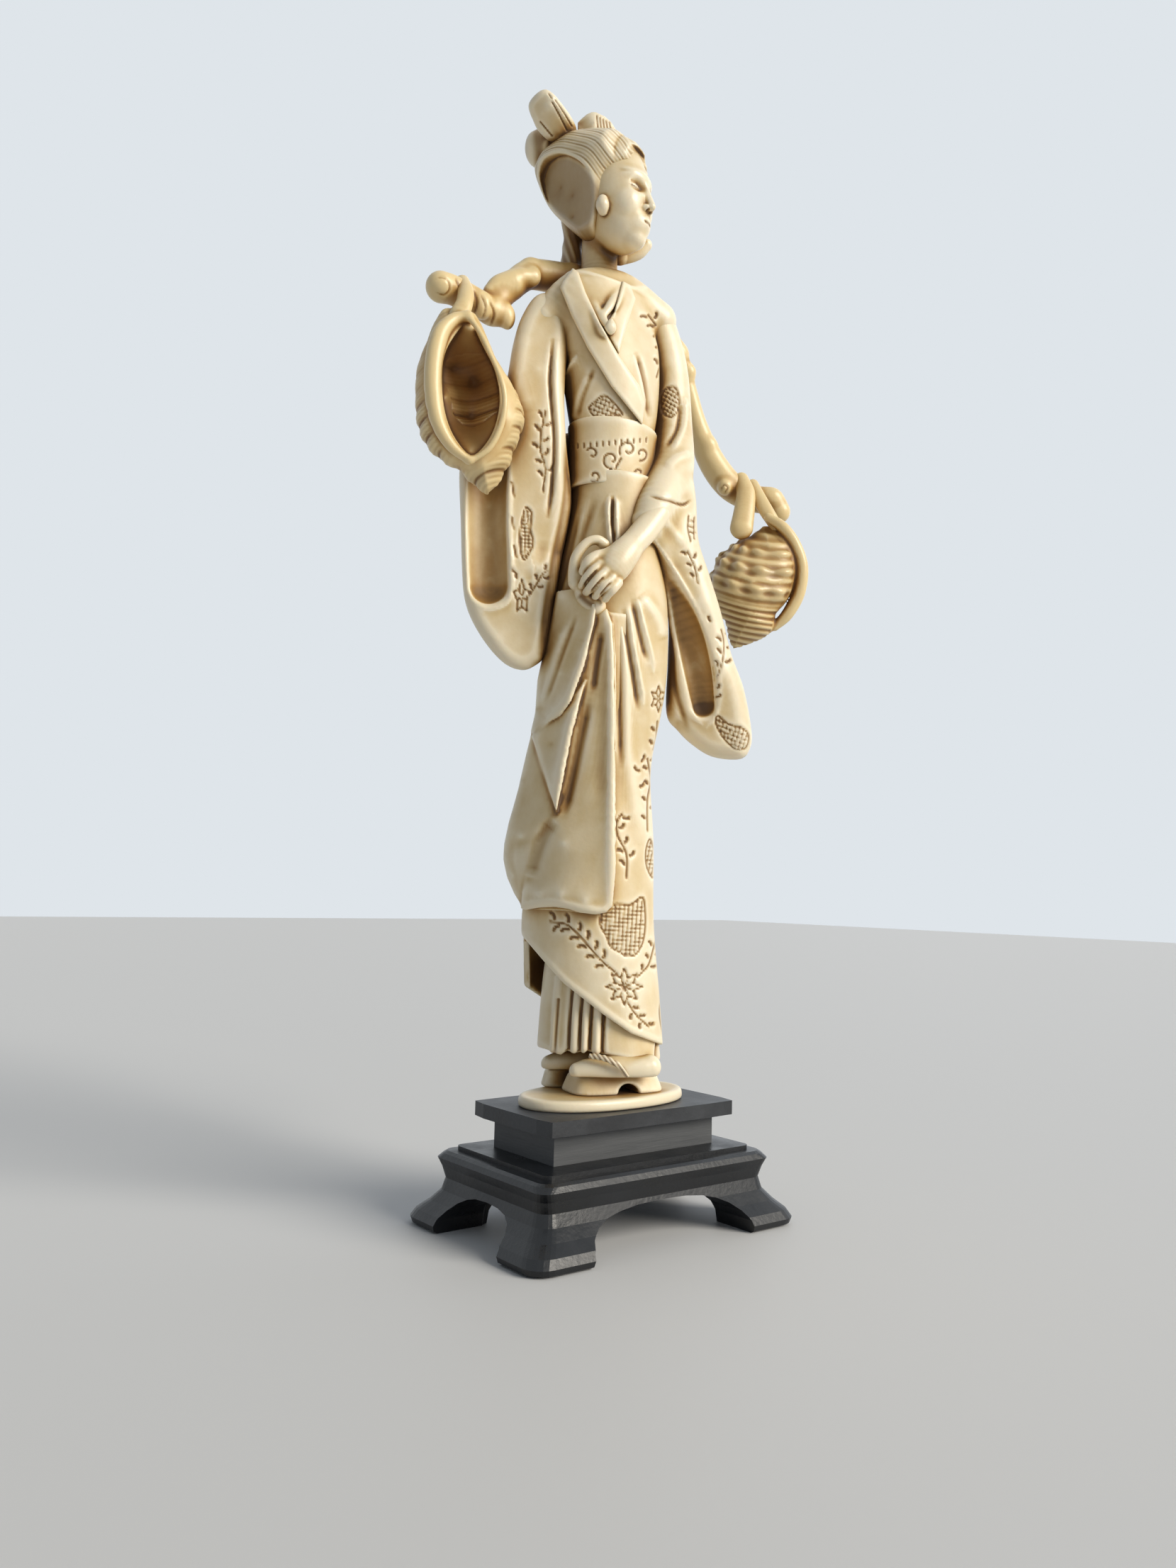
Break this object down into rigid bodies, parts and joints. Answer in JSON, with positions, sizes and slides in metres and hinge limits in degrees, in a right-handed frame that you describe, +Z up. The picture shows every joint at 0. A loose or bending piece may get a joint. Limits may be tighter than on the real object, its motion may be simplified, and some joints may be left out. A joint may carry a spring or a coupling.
{
  "type": "geisha figurine",
  "caption": "Standing woman in a kimono carrying two sea shells on a branch, cast in imitation ivory, on a black three-tier footed stand.",
  "frame": {"origin": "middle of the whole outline seen from above, on the surface that the stand's feet rest on", "axes": "+Z up; the figure and the stand's long front side face -Y; her left hand side is +X"},
  "size_m": [0.155, 0.0718, 0.3721],
  "materials": {
    "ivory_resin": "satin",
    "ivory_skin": "satin",
    "ochre_resin": "satin",
    "black_stand": "satin",
    "charcoal_block": "matte",
    "charcoal_slab": "matte"
  },
  "bodies": {
    "root": {"stand_body": "black_stand", "stand_block": "charcoal_block", "stand_slab": "charcoal_slab", "plinth": "ivory_resin", "geta_front": "ivory_resin", "geta_rear": "ivory_resin", "thong": "ivory_resin", "foot_front": "ivory_skin", "foot_rear": "ivory_skin", "underskirt": "ivory_resin", "robe_skirt": "ivory_resin", "robe_panel": "ivory_resin", "obi": "ivory_resin", "obi_knot": "ivory_resin", "hand_left": "ivory_skin", "bodice": "ivory_resin", "collar_right": "ivory_resin", "collar_left": "ivory_resin", "sleeve_left": "ivory_resin", "sleeve_right": "ivory_resin", "head": "ivory_skin", "hair": "ivory_resin", "hair_bun": "ivory_resin", "hair_bow": "ivory_resin", "comb": "ivory_resin", "nape_lock": "ivory_resin", "branch": "ochre_resin", "strap_right": "ochre_resin", "strap_left_inner": "ochre_resin", "strap_left_outer": "ochre_resin", "shell_right": "ochre_resin", "shell_left": "ochre_resin"}
  },
  "joints": []
}
